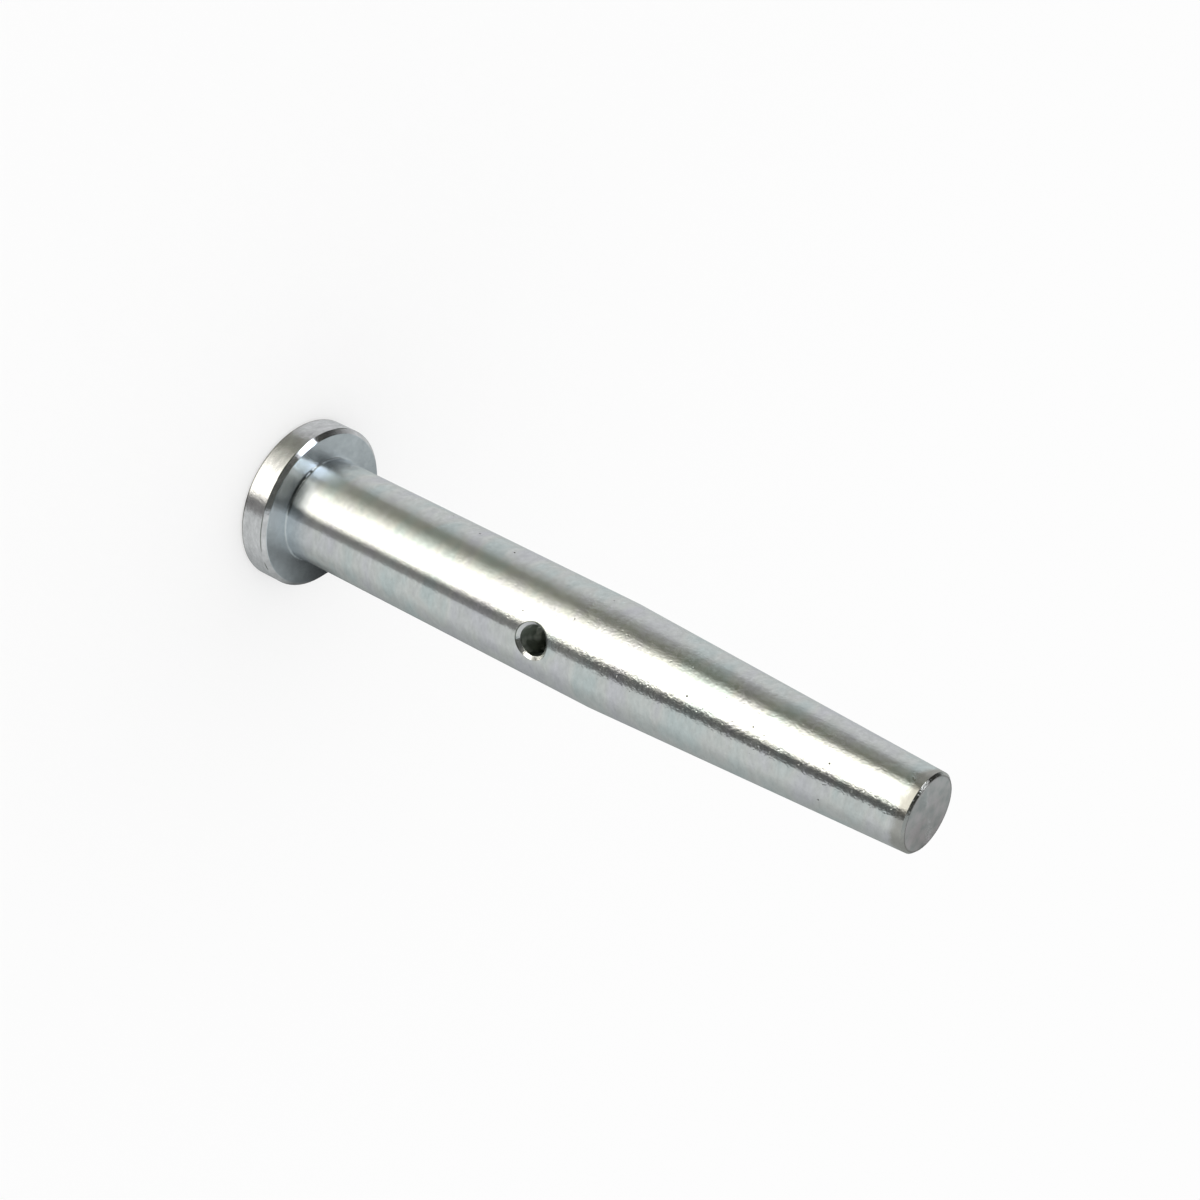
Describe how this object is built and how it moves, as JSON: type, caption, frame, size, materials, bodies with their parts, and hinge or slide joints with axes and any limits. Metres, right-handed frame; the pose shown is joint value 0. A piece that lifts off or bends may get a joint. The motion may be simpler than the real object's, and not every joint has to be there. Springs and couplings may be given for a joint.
{
  "type": "truss pin",
  "caption": "Headed steel pin with a straight shank, a cross hole for a spring clip and a long tapered nose, for joining the forked ends of truss.",
  "frame": {"origin": "centre of the flat face of the head, which the pin stands on", "axes": "+Z along the pin's axis from the head to the tip of the nose, +Y along the clip hole, +X across both"},
  "size_m": [0.025, 0.025, 0.1121],
  "materials": {
    "zinc_plated_steel": "bright zinc plate over turned steel"
  },
  "bodies": {
    "root": {"truss_pin": "zinc_plated_steel"}
  },
  "joints": []
}
